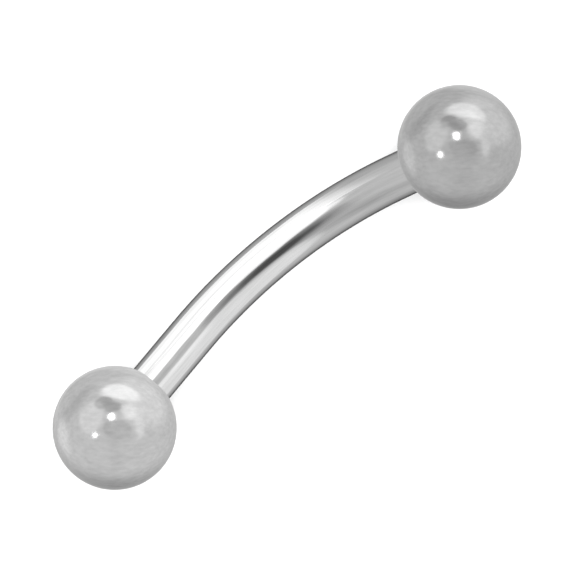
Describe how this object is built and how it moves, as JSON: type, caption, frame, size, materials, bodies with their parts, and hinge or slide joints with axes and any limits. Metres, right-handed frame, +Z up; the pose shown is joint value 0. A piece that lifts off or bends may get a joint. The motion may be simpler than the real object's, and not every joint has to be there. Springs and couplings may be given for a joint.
{
  "type": "curved eyebrow barbell",
  "caption": "Short curved barbell for an eyebrow piercing: a bent round bar with a polished ball that screws onto each end.",
  "frame": {"origin": "on the surface that the barbell lies on, under the middle of its length and depth", "axes": "+Z up from the surface, +X from the lower ball to the upper ball, +Y towards the side that the bow points to"},
  "size_m": [0.0146, 0.0032, 0.0032],
  "materials": {
    "bar_steel": "polished surgical steel",
    "ball_steel": "mirror polished surgical steel"
  },
  "bodies": {
    "bar": {"curved_bar": "bar_steel"},
    "lower_ball": {"lower_ball": "ball_steel"},
    "upper_ball": {"upper_ball": "ball_steel"}
  },
  "joints": [
    {"name": "lower_ball_off", "type": "slide", "parent": "bar", "child": "lower_ball", "axis": [-0.9591, -0.1867, 0.2126], "range_m": [0, 0.0024]},
    {"name": "upper_ball_off", "type": "slide", "parent": "bar", "child": "upper_ball", "axis": [0.9363, -0.2318, 0.264], "range_m": [0, 0.0024]}
  ]
}
